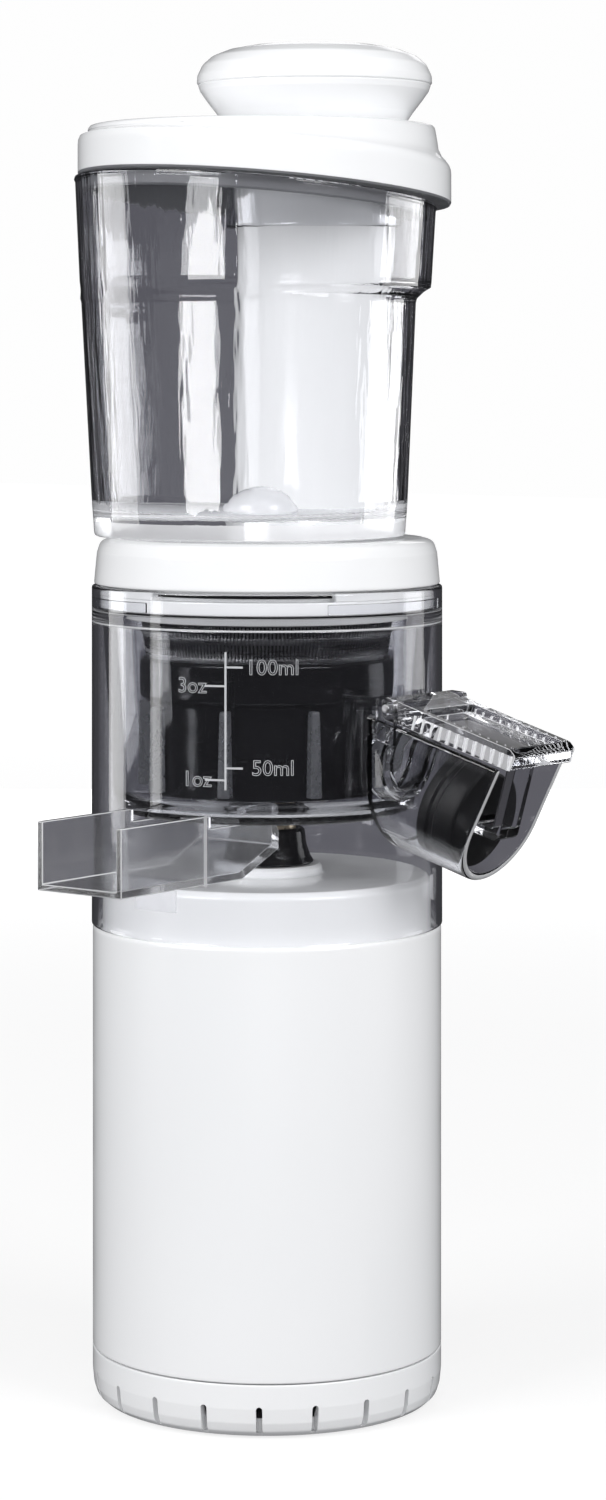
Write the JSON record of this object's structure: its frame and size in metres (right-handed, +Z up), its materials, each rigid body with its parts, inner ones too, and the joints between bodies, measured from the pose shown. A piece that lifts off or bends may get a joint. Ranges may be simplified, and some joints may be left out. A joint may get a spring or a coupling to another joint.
{
  "type": "slow juicer",
  "caption": "Upright slow juicer: white motor base, clear bowl with strainer drum, pulp chute and capped juice spout, clear hopper with lid and pusher.",
  "frame": {"origin": "centre of the underside of the base, on the body's axis", "axes": "+Z up along the body's axis, +X along the juice spout, -Y along the pulp chute"},
  "size_m": [0.1446, 0.1304, 0.372],
  "materials": {
    "white_plastic": "gloss",
    "black_plastic": "gloss",
    "clear_plastic": "clear",
    "steel": "satin",
    "strainer_steel": "fine slots",
    "rubber": "matt",
    "bush_metal": "satin",
    "gear_plastic": "satin",
    "circuit_board": "satin",
    "silicone": "satin",
    "clear_silicone": "satin"
  },
  "bodies": {
    "base": {"body_shell": "white_plastic", "base_pan": "white_plastic", "foot_1": "rubber", "foot_2": "rubber", "foot_3": "rubber", "foot_4": "rubber", "base_screw_1": "steel", "base_screw_2": "steel", "base_screw_3": "steel", "base_screw_4": "steel", "motor_mount": "black_plastic", "motor_end_cap": "steel", "motor_can": "steel", "gearbox_plate": "black_plastic", "ring_gear": "gear_plastic", "gearbox_cover": "black_plastic", "top_deck": "white_plastic", "shaft_seal": "black_plastic", "shaft_bush": "bush_metal", "control_board": "circuit_board", "power_inlet": "black_plastic", "button_bezel": "steel"},
    "button": {"power_button": "white_plastic"},
    "rotor": {"motor_rotor": "steel", "cooling_fan": "black_plastic", "sun_gear": "bush_metal"},
    "drive": {"planet_carrier": "steel", "output_shaft": "steel"},
    "planet_1": {"planet_gear_1": "gear_plastic"},
    "planet_2": {"planet_gear_2": "gear_plastic"},
    "planet_3": {"planet_gear_3": "gear_plastic"},
    "bowl": {"juice_bowl": "clear_plastic", "outlet_duct": "clear_plastic", "pulp_chute": "clear_plastic", "juice_spout": "clear_plastic", "hinge_pin": "steel", "bowl_seal": "silicone", "strainer_base": "black_plastic", "strainer_screen": "strainer_steel"},
    "auger": {"auger": "black_plastic", "auger_pin": "steel", "auger_gear": "black_plastic"},
    "idler": {"idler_gear": "gear_plastic"},
    "brush": {"brush_drum": "black_plastic", "brush_ring_gear": "black_plastic", "wiper_1": "clear_silicone", "wiper_2": "clear_silicone", "wiper_3": "clear_silicone", "wiper_4": "clear_silicone"},
    "feed": {"feed_lid": "white_plastic", "lid_bush": "bush_metal", "hopper": "clear_plastic"},
    "hopper_cover": {"hopper_lid": "white_plastic", "guide_collar": "clear_plastic"},
    "pusher": {"pusher_shaft": "white_plastic", "pusher_knob": "white_plastic"},
    "cap": {"spout_cap": "clear_plastic", "cap_bracket": "clear_plastic", "cap_plug": "silicone"}
  },
  "joints": [
    {"name": "drive_spin", "type": "hinge", "parent": "base", "child": "drive", "pos_m": [0, 0, 0.1], "axis": [0, 0, 1], "continuous": true},
    {"name": "rotor_spin", "type": "hinge", "parent": "base", "child": "rotor", "pos_m": [0, 0, 0.04], "axis": [0, 0, 1], "continuous": true},
    {"name": "planet_1_spin", "type": "hinge", "parent": "drive", "child": "planet_1", "pos_m": [0.0144, 0, 0.08], "axis": [0, 0, 1], "continuous": true},
    {"name": "planet_2_spin", "type": "hinge", "parent": "drive", "child": "planet_2", "pos_m": [-0.0072, 0.01247, 0.08], "axis": [0, 0, 1], "continuous": true},
    {"name": "planet_3_spin", "type": "hinge", "parent": "drive", "child": "planet_3", "pos_m": [-0.0072, -0.01247, 0.08], "axis": [0, 0, 1], "continuous": true},
    {"name": "bowl_lift", "type": "slide", "parent": "base", "child": "bowl", "axis": [0, 0, 1], "range_m": [0, 0.06]},
    {"name": "auger_spin", "type": "hinge", "parent": "bowl", "child": "auger", "pos_m": [0, 0, 0.18], "axis": [0, 0, 1], "continuous": true},
    {"name": "idler_spin", "type": "hinge", "parent": "bowl", "child": "idler", "pos_m": [0, 0.015, 0.168], "axis": [0, 0, 1], "continuous": true},
    {"name": "brush_spin", "type": "hinge", "parent": "bowl", "child": "brush", "pos_m": [0, 0, 0.18], "axis": [0, 0, 1], "continuous": true},
    {"name": "feed_lid_twist", "type": "hinge", "parent": "bowl", "child": "feed", "pos_m": [0, 0, 0.22], "axis": [0, 0, 1], "range_deg": [0, 20]},
    {"name": "hopper_lid_lift", "type": "slide", "parent": "feed", "child": "hopper_cover", "axis": [0, 0, 1], "range_m": [0, 0.03]},
    {"name": "pusher_lift", "type": "slide", "parent": "hopper_cover", "child": "pusher", "axis": [0, 0, 1], "range_m": [0, 0.09]},
    {"name": "cap_flip", "type": "hinge", "parent": "bowl", "child": "cap", "pos_m": [0.053, 0, 0.1927], "axis": [0, -1, 0], "range_deg": [0, 95]},
    {"name": "button_push", "type": "slide", "parent": "base", "child": "button", "axis": [0, -1, 0], "range_m": [0, 0.0012], "stiffness_N_per_m": 300}
  ],
  "couplings": [
    {"joint": "rotor_spin", "follows": "drive_spin", "ratio": 4},
    {"joint": "planet_1_spin", "follows": "drive_spin", "ratio": -3},
    {"joint": "planet_2_spin", "follows": "drive_spin", "ratio": -3},
    {"joint": "planet_3_spin", "follows": "drive_spin", "ratio": -3},
    {"joint": "auger_spin", "follows": "drive_spin", "ratio": 1},
    {"joint": "idler_spin", "follows": "drive_spin", "ratio": -1},
    {"joint": "brush_spin", "follows": "drive_spin", "ratio": -0.33333}
  ]
}
